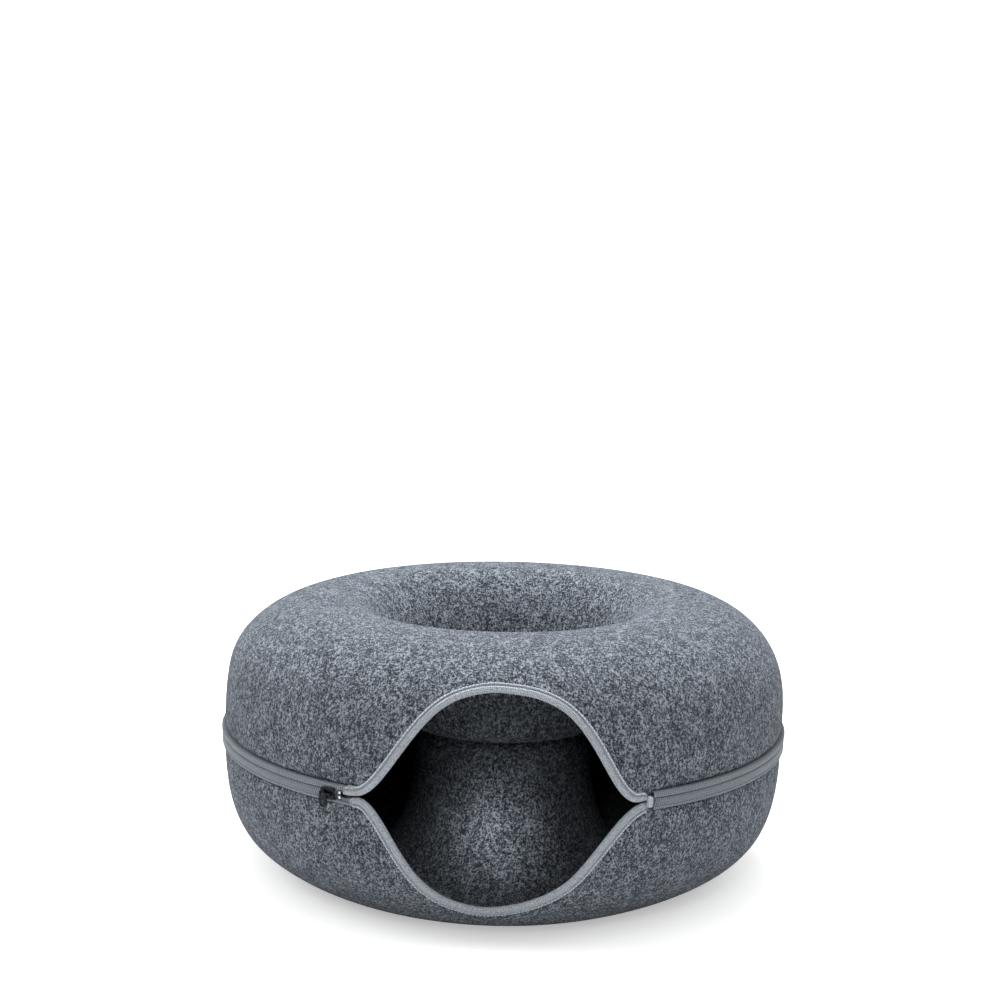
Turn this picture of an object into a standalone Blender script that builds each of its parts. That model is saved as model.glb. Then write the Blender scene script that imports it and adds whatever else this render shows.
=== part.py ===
"""Felt cat cave: two moulded felt halves that a zip joins round the middle.

The upper half has a dimple with a closed floor, and the lower half has a hump that carries it, so
the halves enclose a ring-shaped tunnel. A cat walks in through a bell-shaped opening at the front,
whose cut edges are bound with folded tape. The zip runs from one corner of the opening round the
back to the other, where its slider is parked.

Units are metres and +Z is up. The opening faces -Y. The origin lies on the floor, under the middle
of the box around the cave.

Each cloth piece is laid out on the felt's outer face with three coordinates:
  angle  degrees round the ring's upright axis, from the front, positive towards +X
  arc    length along the face from the seam, positive up over the crown, negative down to the base
  lift   distance out from the face, so the felt lies between lift 0 and minus its thickness
"""

import math

import bmesh
import bpy
import numpy as np
from mathutils import Matrix, Vector

# The felt halves
BODY_RADIUS = 0.250
BODY_HEIGHT = 0.245
SEAM_HEIGHT = 0.1265
FELT_THICKNESS = 0.004
CROWN_RADIUS = 0.145
BASE_OUTER_RADIUS = 0.1413
BASE_INNER_RADIUS = 0.133
SHOULDER_POWER = 2.80
BOWL_POWER = 2.42
DIMPLE_RADIUS = 0.097
DIMPLE_CORNER = 0.014
DIMPLE_FLOOR_HEIGHT = 0.138
DIMPLE_POWER = 2.15
HUMP_RADIUS = 0.075
HUMP_CORNER = 0.018
HUMP_POWER = 2.10
RING_CENTRE_Y = -0.0080

# What keeps two pieces that touch apart, and more of it where tape is folded round a curved edge
GAP = 0.0003
OUTER_FOLD_GAP = 0.0005
INNER_FOLD_GAP = 0.0009

# The opening: each half's cut edge rises from the seam as a bell, a little uneven as sewn
EDGE_SETBACK = 0.00165
OPENING_EDGES = {
    "upper": {"reach": 0.0923, "centre": -1.8, "left": 28.2, "right": 25.8,
              "left_power": 1.42, "right_power": 1.87},
    "lower": {"reach": 0.0939, "centre": -2.9, "left": 27.6, "right": 27.8,
              "left_power": 1.49, "right_power": 1.42},
}
EDGE_SWAYS = {
    "upper": ({"angle": -8.5, "amount": -0.0007}, {"angle": -1.3, "amount": 0.0016},
              {"angle": 8.3, "amount": -0.0012}, {"angle": 15.3, "amount": 0.0010},
              {"angle": 21.5, "amount": -0.0018}),
    "lower": ({"angle": -17.5, "amount": 0.0020}, {"angle": -9.7, "amount": -0.0008},
              {"angle": -3.6, "amount": 0.0024}, {"angle": 5.8, "amount": -0.0017},
              {"angle": 13.8, "amount": 0.0022}),
}
SWAY_TURN = 3.4

# The binding: tape folded over the cut edge
BINDING_THICKNESS = 0.0010
BINDING_OUTER_WIDTH = 0.0070
BINDING_INNER_WIDTH = 0.0062
BINDING_BEND = 0.0019
BINDING_LEFT = -28.6
BINDING_RIGHT = 27.3

# The zip: two tapes on the felt's face, a chain on the tapes
TAPE_THICKNESS = 0.0010
TAPE_WIDTH = 0.0072
TAPE_RIGHT = 28.75
TAPE_LEFT = 360.0 - 28.75
CHAIN_WIDTH = 0.0058
CHAIN_HEIGHT = 0.0021
CHAIN_SIDE_SHARE = 0.45
CHAIN_TOP_SHARE = 0.55
CHAIN_RIGHT = 28.95
CHAIN_LEFT = 360.0 - 32.2

# The slider, the two stops in front of it, its pull, and the folded tape end at the other corner
SLIDER_ANGLE = -33.45
SLIDER_LENGTH = 0.0135
SLIDER_FRONT_WIDTH = 0.0104
SLIDER_BACK_WIDTH = 0.0090
SLIDER_WALL = 0.0011
SLIDER_CLEARANCE = 0.0004
SLIDER_BEVEL = 0.0007
SLIDER_OUTLINE = (
    {"place": -0.50, "width": 0.78},
    {"place": -0.38, "width": 1.00},
    {"place": 0.30, "width": 1.00},
    {"place": 0.50, "width": 0.86},
)
BRIDGE_LENGTH = 0.0090
BRIDGE_HEIGHT = 0.0034
BRIDGE_WIDTH = 0.0022
BRIDGE_THICKNESS = 0.0012
BRIDGE_POWER = 3.0
PULL_LENGTH = 0.0150
PULL_WIDTH = 0.0072
PULL_THICKNESS = 0.0012
PULL_EYE = 0.0038
PULL_EYE_DROP = 0.0002
PULL_HEAD = 0.00285
PULL_WINDOW_LENGTH = 0.0052
PULL_WINDOW_WIDTH = 0.0036
PULL_WINDOW_DROP = 0.0084
PULL_SWING = 3.0
STOP_ANGLE = -31.05
STOP_LENGTH = 0.0022
STOP_WIDTH = 0.0026
STOP_HEIGHT = 0.0016
STOP_BEVEL = 0.0005
END_TAB_ANGLE = 28.02
END_TAB_LENGTH = 0.0046
END_TAB_WIDTH = 0.0092
END_TAB_HEIGHT = 0.0036
END_TAB_BEVEL = 0.0014

# Soft swells and dips of the moulded felt: where, how far they reach, and how high they stand
SWELLS = (
    {"angle": -88.0, "arc": 0.075, "turn": 34.0, "run": 0.026, "amount": 0.0024},
    {"angle": -118.0, "arc": 0.125, "turn": 30.0, "run": 0.030, "amount": -0.0008},
    {"angle": 86.0, "arc": 0.060, "turn": 34.0, "run": 0.040, "amount": 0.0032},
    {"angle": -72.0, "arc": -0.075, "turn": 34.0, "run": 0.040, "amount": 0.0022},
    {"angle": 74.0, "arc": -0.078, "turn": 24.0, "run": 0.036, "amount": 0.0022},
    {"angle": 36.0, "arc": -0.115, "turn": 22.0, "run": 0.030, "amount": -0.0036},
    {"angle": -40.0, "arc": -0.115, "turn": 28.0, "run": 0.030, "amount": -0.0028},
)

# Fineness of the meshes
OPENING_STEPS = 28
SLIDER_STATIONS = (-37.0, -34.2, -31.4)
BACK_STEPS = 36
BRIDGE_STEPS = 8
ROUND_STEPS = 6
WALL_ROWS = 8
CORE_ROWS = 8
CURVE_SAMPLES = 160
FOLD_STEPS = 3
SHARP_ANGLE = math.radians(50.0)


def quarter(upright_end, level_end, power):
    """Points of a superellipse quarter, from the end where it runs upright to where it is level."""
    turn = np.linspace(0.0, math.pi / 2.0, CURVE_SAMPLES)
    across = np.clip(np.cos(turn), 0.0, 1.0) ** (2.0 / power)
    along = np.sin(turn) ** (2.0 / power)
    radius = level_end[0] + (upright_end[0] - level_end[0]) * across
    height = upright_end[1] + (level_end[1] - upright_end[1]) * along
    return list(zip(radius, height))


class Profile:
    """The outer face of one half in section, read by arc length from the seam."""

    def __init__(self, stretches):
        points = [stretches[0][0]]
        last_points = []
        for stretch in stretches:
            points.extend(stretch[1:])
            last_points.append(len(points) - 1)
        self.radius = np.array([point[0] for point in points])
        self.height = np.array([point[1] for point in points])
        steps = np.hypot(np.diff(self.radius), np.diff(self.height))
        self.arc = np.concatenate([[0.0], np.cumsum(steps)])
        heading = np.unwrap(np.arctan2(np.diff(self.height), np.diff(self.radius)))
        bends = np.concatenate([[0.0], np.abs(np.diff(heading)), [0.0]])
        turned = np.cumsum(bends)
        self.measure = self.arc / self.arc[-1] + turned / turned[-1]
        self.ends = [float(self.arc[last]) for last in last_points]

    def point(self, arc):
        """Radius and height at an arc length."""
        return (
            float(np.interp(arc, self.arc, self.radius)),
            float(np.interp(arc, self.arc, self.height)),
        )

    def normal(self, arc):
        """Outward direction in section, as (radius, height)."""
        probe = 0.0004
        before = self.point(max(arc - probe, 0.0))
        after = self.point(min(arc + probe, self.arc[-1]))
        run = Vector((after[0] - before[0], after[1] - before[1])).normalized()
        return (run.y, -run.x)

    def spaced(self, start, end, count):
        """Arc lengths from start to end, closer together where the face bends."""
        limits = np.interp([start, end], self.arc, self.measure)
        wanted = np.linspace(limits[0], limits[1], count + 1)
        return [float(arc) for arc in np.interp(wanted, self.measure, self.arc)]


def upper_profile():
    """From the seam over the crown, down the dimple and across its floor to the middle."""
    throat_height = DIMPLE_FLOOR_HEIGHT + DIMPLE_CORNER
    crown = (CROWN_RADIUS, BODY_HEIGHT)
    throat = (DIMPLE_RADIUS, throat_height)
    floor_rim = (DIMPLE_RADIUS - DIMPLE_CORNER, DIMPLE_FLOOR_HEIGHT)
    return Profile([
        quarter((BODY_RADIUS, SEAM_HEIGHT), crown, SHOULDER_POWER),
        quarter(throat, crown, DIMPLE_POWER)[::-1],
        quarter(throat, floor_rim, 2.0),
        [floor_rim, (0.0, DIMPLE_FLOOR_HEIGHT)],
    ])


def lower_profile():
    """From the seam down the bowl, across the flat base and up the hump to the middle."""
    hump_height = DIMPLE_FLOOR_HEIGHT - 2.0 * FELT_THICKNESS - GAP
    base_outer = (BASE_OUTER_RADIUS, 0.0)
    base_inner = (BASE_INNER_RADIUS, 0.0)
    waist = (HUMP_RADIUS, hump_height - HUMP_CORNER)
    top_rim = (HUMP_RADIUS - HUMP_CORNER, hump_height)
    return Profile([
        quarter((BODY_RADIUS, SEAM_HEIGHT), base_outer, BOWL_POWER),
        [base_outer, base_inner],
        quarter(waist, base_inner, HUMP_POWER)[::-1],
        quarter(waist, top_rim, 2.0),
        [top_rim, (0.0, hump_height)],
    ])


PROFILES = {"upper": upper_profile(), "lower": lower_profile()}
SIDES = {"upper": 1.0, "lower": -1.0}


def swell(angle, arc):
    """How far the face stands out of its regular shape. The flat base and the hump stay true."""
    if arc <= -PROFILES["lower"].ends[0]:
        return 0.0
    total = 0.0
    for row in SWELLS:
        turn = (angle - row["angle"] + 180.0) % 360.0 - 180.0
        distance = (turn / row["turn"]) ** 2 + ((arc - row["arc"]) / row["run"]) ** 2
        total += row["amount"] * math.exp(-distance)
    return total


def surface(angle, arc, lift):
    """The place of a point that is laid out by angle, arc and lift."""
    profile = PROFILES["upper" if arc >= 0.0 else "lower"]
    radius, height = profile.point(abs(arc))
    out_radius, out_height = profile.normal(abs(arc))
    if arc < 0.0:
        out_radius, out_height = -out_radius, -out_height
    rise = lift + swell(angle, arc)
    radius += out_radius * rise
    height += out_height * rise
    turn = math.radians(angle)
    return Vector((radius * math.sin(turn), RING_CENTRE_Y - radius * math.cos(turn), height))


def seat(angle, arc, lift):
    """Placement for a stiff piece: X along the zip, Y up the face, Z out of it."""
    step = 0.5
    place = surface(angle, arc, lift)
    along = (surface(angle + step, arc, lift) - surface(angle - step, arc, lift)).normalized()
    out = (surface(angle, arc, lift + FELT_THICKNESS) - place).normalized()
    up = out.cross(along).normalized()
    axes = Matrix((along, up, out)).transposed().to_4x4()
    return Matrix.Translation(place) @ axes


def bell(side, angle):
    """How far a half's cut edge stands from the seam line, as a length along the face."""
    edge = OPENING_EDGES[side]
    turn = angle - edge["centre"]
    hand = "left" if turn < 0.0 else "right"
    width = edge[hand] + (edge["centre"] if hand == "left" else -edge["centre"])
    share = min(abs(turn) / width, 1.0)
    fall = math.pi * share ** edge[hand + "_power"]
    sways = sum(row["amount"] * math.exp(-((angle - row["angle"]) / SWAY_TURN) ** 2)
                for row in EDGE_SWAYS[side])
    return edge["reach"] * (1.0 + math.cos(fall)) / 2.0 + sways


def edge_arc(side, angle):
    """Arc of the felt's own edge, signed, at an angle."""
    turn = (angle + 180.0) % 360.0 - 180.0
    return SIDES[side] * (EDGE_SETBACK + bell(side, turn))


def beside_edge(side, angle, inset, lift):
    """A point that lies a distance into the felt from its cut edge, measured square to the edge."""
    step = 0.1
    arc = edge_arc(side, angle)
    radius = PROFILES[side].point(abs(arc))[0]
    rise = edge_arc(side, angle + step) - edge_arc(side, angle - step)
    run = radius * math.radians(2.0 * step)
    slope = math.atan2(rise, run)
    across = -math.sin(slope) * inset * SIDES[side]
    inward = math.cos(slope) * inset * SIDES[side]
    return surface(angle + math.degrees(across / radius), arc + inward, lift)


def opening_angles():
    """Stations across the opening, at even steps along its cut edge."""
    angles = np.linspace(BINDING_LEFT, BINDING_RIGHT, 10 * OPENING_STEPS + 1)
    arcs = [edge_arc("upper", angle) for angle in angles]
    steps = np.hypot(BODY_RADIUS * np.radians(np.diff(angles)), np.diff(arcs))
    travelled = np.concatenate([[0.0], np.cumsum(steps)])
    wanted = np.linspace(0.0, travelled[-1], OPENING_STEPS + 1)
    return [float(angle) for angle in np.interp(wanted, travelled, angles)]


def back_angles():
    """Stations from the right corner of the opening round the back to the slider and past it."""
    far_left = 360.0 + SLIDER_STATIONS[0]
    even = np.linspace(-BINDING_LEFT, far_left, BACK_STEPS + 1)
    return [float(angle) for angle in even] + [360.0 + angle for angle in SLIDER_STATIONS[1:]]


def zip_angles(start, end):
    """Stations of a piece that follows the seam round the back, with its own two ends."""
    margin = 0.6
    inside = [angle for angle in back_angles() if start + margin < angle < end - margin]
    return [start] + inside + [end]


def finish(name, mesh, material):
    """Put a mesh in the scene as a named, smooth-shaded object."""
    mesh.materials.append(material)
    mesh.shade_smooth()
    mesh.set_sharp_from_angle(angle=SHARP_ANGLE)
    piece = bpy.data.objects.new(name, mesh)
    bpy.context.scene.collection.objects.link(piece)
    return piece


def cloth(name, front, back, material, closed=False, flip=False, poles=None):
    """A sheet between two faces, each given as strips of points, with its edges closed.

    The front is the face that shows. A closed sheet's last strip joins its first, and poles are
    the middles of both faces where the strips all run together.
    """
    shape = bmesh.new()
    faces = []
    grids = []
    for strips in (front, back):
        grids.append([[shape.verts.new(point) for point in strip] for strip in strips])
    count = len(front)
    spans = [(step, (step + 1) % count) for step in range(count if closed else count - 1)]
    last = len(front[0]) - 1
    for grid, turned in zip(grids, (False, True)):
        middle = None if poles is None else shape.verts.new(poles[1 if turned else 0])
        for one, two in spans:
            for row in range(last):
                face = [grid[one][row], grid[two][row], grid[two][row + 1], grid[one][row + 1]]
                faces.append(face[::-1] if turned else face)
            if middle is not None:
                face = [grid[one][last], grid[two][last], middle]
                faces.append(face[::-1] if turned else face)
    outer, inner = grids
    for one, two in spans:
        faces.append([outer[two][0], outer[one][0], inner[one][0], inner[two][0]])
        if poles is None:
            faces.append([outer[one][last], outer[two][last], inner[two][last], inner[one][last]])
    if not closed:
        for row in range(last):
            faces.append([outer[0][row], outer[0][row + 1], inner[0][row + 1], inner[0][row]])
            faces.append([outer[-1][row + 1], outer[-1][row], inner[-1][row], inner[-1][row + 1]])
    for face in faces:
        shape.faces.new(reversed(face) if flip else face)
    mesh = bpy.data.meshes.new(name)
    shape.to_mesh(mesh)
    shape.free()
    return finish(name, mesh, material)


def loft(name, loops, material):
    """A solid through closed loops of points, capped at both ends."""
    shape = bmesh.new()
    rings = [[shape.verts.new(point) for point in loop] for loop in loops]
    count = len(rings[0])
    for one, two in zip(rings, rings[1:]):
        for step in range(count):
            following = (step + 1) % count
            shape.faces.new([one[step], one[following], two[following], two[step]])
    shape.faces.new(list(reversed(rings[0])))
    shape.faces.new(rings[-1])
    bmesh.ops.recalc_face_normals(shape, faces=shape.faces)
    mesh = bpy.data.meshes.new(name)
    shape.to_mesh(mesh)
    shape.free()
    return finish(name, mesh, material)


def combine(piece, tool, operation):
    """Join a helper solid to a piece, or cut it out, and keep the helper as a guide only."""
    change = piece.modifiers.new(tool.name, "BOOLEAN")
    change.operation = operation
    change.solver = "EXACT"
    change.object = tool
    tool.hide_render = True
    tool.display_type = "WIRE"


def finish_material(name, colour, roughness, metallic=0.0):
    """A plain surface finish with the piece's own colour."""
    material = bpy.data.materials.new(name)
    material.use_nodes = True
    shader = material.node_tree.nodes["Principled BSDF"]
    shader.inputs["Base Color"].default_value = (*colour, 1.0)
    shader.inputs["Roughness"].default_value = roughness
    shader.inputs["Metallic"].default_value = metallic
    material.diffuse_color = (*colour, 1.0)
    return material


def felt_shell(side, material):
    """One moulded half, from its cut edge to the middle of its dimple or hump."""
    profile = PROFILES[side]
    wall_end = profile.ends[0]
    core_start = wall_end if side == "upper" else profile.ends[1]
    core_end = profile.ends[-2]
    core = profile.spaced(core_start, core_end, CORE_ROWS)
    if core_start == wall_end:
        core = core[1:]
    faces = []
    poles = []
    for lift in (0.0, -FELT_THICKNESS):
        strips = []
        for angle in opening_angles() + back_angles():
            wall = profile.spaced(abs(edge_arc(side, angle)), wall_end, WALL_ROWS)
            strips.append([surface(angle, SIDES[side] * arc, lift) for arc in wall + core])
        faces.append(strips)
        poles.append(surface(0.0, SIDES[side] * profile.arc[-1], lift))
    return cloth(side + "_shell", *faces, material, closed=True, flip=side == "lower", poles=poles)


def fold_section(inset_offset):
    """One face of the folded tape, as (inset, lift), from its outer hem round to its inner one."""
    outer = OUTER_FOLD_GAP + BINDING_THICKNESS
    inner = -FELT_THICKNESS - INNER_FOLD_GAP - BINDING_THICKNESS
    tip = -GAP - BINDING_THICKNESS
    bend = BINDING_BEND - inset_offset
    section = [(BINDING_OUTER_WIDTH, outer - inset_offset),
               (BINDING_OUTER_WIDTH / 2.0, outer - inset_offset)]
    for centre_lift, start in ((outer - BINDING_BEND, 0.0), (inner + BINDING_BEND, 90.0)):
        for step in range(FOLD_STEPS + 1):
            turn = math.radians(start + 90.0 * step / FOLD_STEPS)
            inset = tip + BINDING_BEND - bend * math.sin(turn)
            section.append((inset, centre_lift + bend * math.cos(turn)))
    section.append((BINDING_INNER_WIDTH, inner + inset_offset))
    return section


def binding(side, material):
    """Tape folded over one half's cut edge, from corner to corner of the opening."""
    faces = []
    for depth in (0.0, BINDING_THICKNESS):
        section = fold_section(depth)
        faces.append([[beside_edge(side, angle, inset, lift) for inset, lift in section]
                      for angle in opening_angles()])
    return cloth("binding_" + side, *faces, material, flip=side == "upper")


def zip_tape(side, material):
    """Half of the zip's tape, flat on the felt beside the seam."""
    faces = []
    for lift in (GAP + TAPE_THICKNESS, GAP):
        faces.append([[surface(angle, SIDES[side] * arc, lift) for arc in (GAP, TAPE_WIDTH)]
                      for angle in zip_angles(TAPE_RIGHT, TAPE_LEFT)])
    return cloth("zip_tape_" + side, *faces, material, flip=side == "lower")


def chain(material):
    """The closed chain of coils, a low rounded bead along the middle of the tapes."""
    foot = 2.0 * GAP + TAPE_THICKNESS
    half = CHAIN_WIDTH / 2.0
    section = (
        (-half, foot),
        (half, foot),
        (half, foot + CHAIN_SIDE_SHARE * CHAIN_HEIGHT),
        (CHAIN_TOP_SHARE * half, foot + CHAIN_HEIGHT),
        (-CHAIN_TOP_SHARE * half, foot + CHAIN_HEIGHT),
        (-half, foot + CHAIN_SIDE_SHARE * CHAIN_HEIGHT),
    )
    loops = []
    for angle in zip_angles(CHAIN_RIGHT, CHAIN_LEFT):
        loops.append([surface(angle, arc, lift) for arc, lift in section])
    return loft("zip_coil", loops, material)


def slider_body(material):
    """The slider: a plate over the chain with a lip down each side, wider towards the opening."""
    inner_top = CHAIN_HEIGHT + GAP
    top = inner_top + SLIDER_WALL
    shoulder = top - SLIDER_BEVEL
    loops = []
    for row in SLIDER_OUTLINE:
        blend = row["place"] + 0.5
        full = SLIDER_BACK_WIDTH + (SLIDER_FRONT_WIDTH - SLIDER_BACK_WIDTH) * blend
        outer = full * row["width"] / 2.0
        inner = max(CHAIN_WIDTH / 2.0 + SLIDER_CLEARANCE, outer - SLIDER_WALL)
        outer = max(outer, inner + SLIDER_WALL / 2.0)
        crest = outer - SLIDER_BEVEL
        section = [
            (inner, 0.0), (outer, 0.0), (outer, shoulder), (crest, top),
            (-crest, top), (-outer, shoulder), (-outer, 0.0), (-inner, 0.0),
            (-inner, inner_top), (inner, inner_top),
        ]
        loops.append([Vector((row["place"] * SLIDER_LENGTH, up, out)) for up, out in section])
    return loft("zip_slider", loops, material), top


def bridge(plate_top, material):
    """The arch on the slider that holds the pull."""
    reach = (BRIDGE_LENGTH - BRIDGE_THICKNESS) / 2.0
    rise = BRIDGE_HEIGHT - BRIDGE_THICKNESS / 2.0
    side = BRIDGE_WIDTH / 2.0
    loops = []
    for step in range(BRIDGE_STEPS + 1):
        turn = math.pi * step / BRIDGE_STEPS
        spread = math.copysign(abs(math.cos(turn)) ** (2.0 / BRIDGE_POWER), math.cos(turn))
        lift = abs(math.sin(turn)) ** (2.0 / BRIDGE_POWER)
        centre = Vector((-reach * spread, 0.0, plate_top + rise * lift))
        out = Vector((-spread, 0.0, lift)).normalized() * BRIDGE_THICKNESS / 2.0
        if step in (0, BRIDGE_STEPS):
            centre.z -= SLIDER_WALL / 2.0
        across = Vector((0.0, side, 0.0))
        loops.append([centre + out - across, centre + out + across,
                      centre - out + across, centre - out - across])
    return loft("bridge_guide", loops, material)


def rounded_plate(name, length, width, thickness, middle, material):
    """A flat plate in the XY plane with round ends along Y."""
    corner = width / 2.0
    loops = []
    for height in (-thickness / 2.0, thickness / 2.0):
        loop = []
        for side, start in ((1.0, 0.0), (-1.0, 180.0)):
            for step in range(ROUND_STEPS + 1):
                turn = math.radians(start + 180.0 * step / ROUND_STEPS)
                x = corner * math.cos(turn)
                y = side * (length / 2.0 - corner) + corner * math.sin(turn)
                loop.append(Vector((x, y, height)) + middle)
        loops.append(loop)
    return loft(name, loops, material)


def zip_slider_and_pull(metal):
    """The slider with its arch, parked at the left corner, and the pull that hangs from it."""
    foot = GAP + TAPE_THICKNESS + GAP
    place = seat(SLIDER_ANGLE, 0.0, foot)
    body, plate_top = slider_body(metal)
    arch = bridge(plate_top, metal)
    body.matrix_world = place
    arch.matrix_world = place
    combine(body, arch, "UNION")

    leg = (BRIDGE_THICKNESS - BRIDGE_LENGTH) / 2.0
    hang = Vector((leg, 0.0, plate_top + (BRIDGE_HEIGHT - BRIDGE_THICKNESS) / 2.0))
    swing = Matrix.Rotation(math.radians(PULL_SWING), 4, "X")
    pull_place = place @ Matrix.Translation(hang) @ swing
    centre = Vector((0.0, PULL_HEAD - PULL_LENGTH / 2.0, 0.0))
    pull = rounded_plate("zip_pull", PULL_LENGTH, PULL_WIDTH, PULL_THICKNESS, centre, metal)
    deep = 4.0 * PULL_THICKNESS
    eye_centre = Vector((0.0, -PULL_EYE_DROP, 0.0))
    eye = rounded_plate("eye_guide", PULL_EYE, PULL_EYE, deep, eye_centre, metal)
    window_centre = Vector((0.0, -PULL_WINDOW_DROP, 0.0))
    window = rounded_plate("window_guide", PULL_WINDOW_LENGTH, PULL_WINDOW_WIDTH, deep,
                           window_centre, metal)
    for piece in (pull, eye, window):
        piece.matrix_world = pull_place
    combine(pull, eye, "DIFFERENCE")
    combine(pull, window, "DIFFERENCE")


def soft_block(name, length, width, height, bevel, place, material):
    """A small block with rounded edges, standing on the XY plane of its placement."""
    shape = bmesh.new()
    bmesh.ops.create_cube(shape, size=1.0)
    bmesh.ops.scale(shape, vec=(length, width, height), verts=shape.verts)
    bmesh.ops.translate(shape, vec=(0.0, 0.0, height / 2.0), verts=shape.verts)
    upper_edges = [edge for edge in shape.edges
                   if max(vert.co.z for vert in edge.verts) > height / 2.0]
    bmesh.ops.bevel(shape, geom=upper_edges, offset=bevel, segments=2, affect="EDGES", profile=0.5)
    mesh = bpy.data.meshes.new(name)
    shape.to_mesh(mesh)
    shape.free()
    piece = finish(name, mesh, material)
    piece.matrix_world = place
    return piece


def main():
    for thing in list(bpy.data.objects):
        bpy.data.objects.remove(thing, do_unlink=True)

    felt = finish_material("grey_felt", (0.165, 0.185, 0.215), 0.95)
    edging = finish_material("edge_tape", (0.335, 0.365, 0.405), 0.85)
    zip_cloth = finish_material("zip_tape", (0.205, 0.228, 0.258), 0.85)
    coil = finish_material("zip_coil", (0.190, 0.212, 0.240), 0.50)
    metal = finish_material("dark_metal", (0.060, 0.062, 0.068), 0.32, 1.0)
    bright = finish_material("stop_metal", (0.620, 0.630, 0.650), 0.28, 1.0)

    for side in SIDES:
        felt_shell(side, felt)
        binding(side, edging)
        zip_tape(side, zip_cloth)
        stop_place = seat(STOP_ANGLE, SIDES[side] * (STOP_WIDTH / 2.0 + 2.0 * GAP),
                          TAPE_THICKNESS + 2.0 * GAP)
        soft_block("zip_stop_" + side, STOP_LENGTH, STOP_WIDTH, STOP_HEIGHT, STOP_BEVEL,
                   stop_place, bright)
    chain(coil)
    zip_slider_and_pull(metal)
    soft_block("zip_end_tab", END_TAB_LENGTH, END_TAB_WIDTH, END_TAB_HEIGHT, END_TAB_BEVEL,
               seat(END_TAB_ANGLE, 0.0, GAP), zip_cloth)


main()
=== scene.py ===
# %% [markdown]
# # A felt cat cave
#
# The cave is a ring of moulded felt with a dimple on top. Two halves meet round the middle in a zip,
# and a cat walks in through a bell-shaped opening whose edges are bound with folded tape. This lesson
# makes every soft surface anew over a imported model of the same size: felt, tape, zip and stitches.
# Units are metres, +Z is up, and the opening faces -Y.

import math

import bpy
import numpy as np
from mathutils import Matrix, Vector


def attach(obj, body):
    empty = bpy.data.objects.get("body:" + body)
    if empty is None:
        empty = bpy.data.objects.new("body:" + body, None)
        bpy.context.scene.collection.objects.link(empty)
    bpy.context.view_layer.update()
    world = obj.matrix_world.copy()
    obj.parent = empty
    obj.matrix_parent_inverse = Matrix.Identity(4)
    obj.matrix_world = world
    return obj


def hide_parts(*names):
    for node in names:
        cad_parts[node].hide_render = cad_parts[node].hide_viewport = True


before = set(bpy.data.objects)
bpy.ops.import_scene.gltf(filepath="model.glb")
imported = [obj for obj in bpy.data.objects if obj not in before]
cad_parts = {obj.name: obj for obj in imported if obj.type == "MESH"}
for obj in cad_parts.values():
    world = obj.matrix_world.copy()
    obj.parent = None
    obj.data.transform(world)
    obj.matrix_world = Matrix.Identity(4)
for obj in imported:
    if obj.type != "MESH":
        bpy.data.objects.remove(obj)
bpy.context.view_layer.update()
bpy.ops.object.select_all(action="DESELECT")
print("nodes:", ", ".join(sorted(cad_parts)))

# %% [markdown]
# ## The felt's sizes
#
# The same named sizes as in the model that was packed, so that the new surfaces lie exactly where the
# solids are. Each half is described by the line that its outer face makes in section.

# %% Sizes of the two halves
BODY_RADIUS = 0.250
BODY_HEIGHT = 0.245
SEAM_HEIGHT = 0.1265
FELT_THICKNESS = 0.004
CROWN_RADIUS = 0.145
BASE_OUTER_RADIUS = 0.1413
BASE_INNER_RADIUS = 0.133
SHOULDER_POWER = 2.80
BOWL_POWER = 2.42
DIMPLE_RADIUS = 0.097
DIMPLE_CORNER = 0.014
DIMPLE_FLOOR_HEIGHT = 0.138
DIMPLE_POWER = 2.15
HUMP_RADIUS = 0.075
HUMP_CORNER = 0.018
HUMP_POWER = 2.10
RING_CENTRE_Y = -0.0080
GAP = 0.0003
SIDES = {"upper": 1.0, "lower": -1.0}

# %% [markdown]
# ## A section line
#
# A superellipse quarter is a rounded corner whose fullness is one number: 2 is a circle, and more than
# 2 is squarer, as a moulded shoulder is. Each half is a few such quarters joined end to end. The line is
# then read by its length from the seam, which is how a maker would measure along the cloth with a tape.

# %% Quarters and lines
QUARTER_SAMPLES = 220
FLOOR_SAMPLES = 40
BASE_SAMPLES = 8


def quarter(upright_end, level_end, power):
    """A superellipse quarter, from the end where it runs upright to the end where it is level."""
    turn = np.linspace(0.0, math.pi / 2.0, QUARTER_SAMPLES)
    across = np.clip(np.cos(turn), 0.0, 1.0) ** (2.0 / power)
    along = np.sin(turn) ** (2.0 / power)
    radius = level_end[0] + (upright_end[0] - level_end[0]) * across
    height = upright_end[1] + (level_end[1] - upright_end[1]) * along
    return np.column_stack([radius, height])


def distances(points):
    """How far along a line of points each one of them is."""
    return np.concatenate([[0.0], np.cumsum(np.hypot(*np.diff(points, axis=0).T))])


def joined(stretches):
    """One line from several stretches, with its length and with where each stretch ends.

    Its measure grows with the length and with the turning, so that rows gather where it bends.
    """
    line = np.concatenate([stretches[0]] + [part[1:] for part in stretches[1:]])
    length = distances(line)
    heading = np.unwrap(np.arctan2(*np.diff(line, axis=0).T[::-1]))
    turned = np.concatenate([[0.0], np.cumsum(np.abs(np.diff(heading))), [0.0]])
    turned[-1] = turned[-2]
    last = np.cumsum([len(stretches[0]) - 1] + [len(part) - 1 for part in stretches[1:]])
    return {"radius": line[:, 0], "height": line[:, 1], "length": length,
            "measure": length / length[-1] + turned / turned[-1],
            "ends": [float(length[index]) for index in last]}


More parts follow.
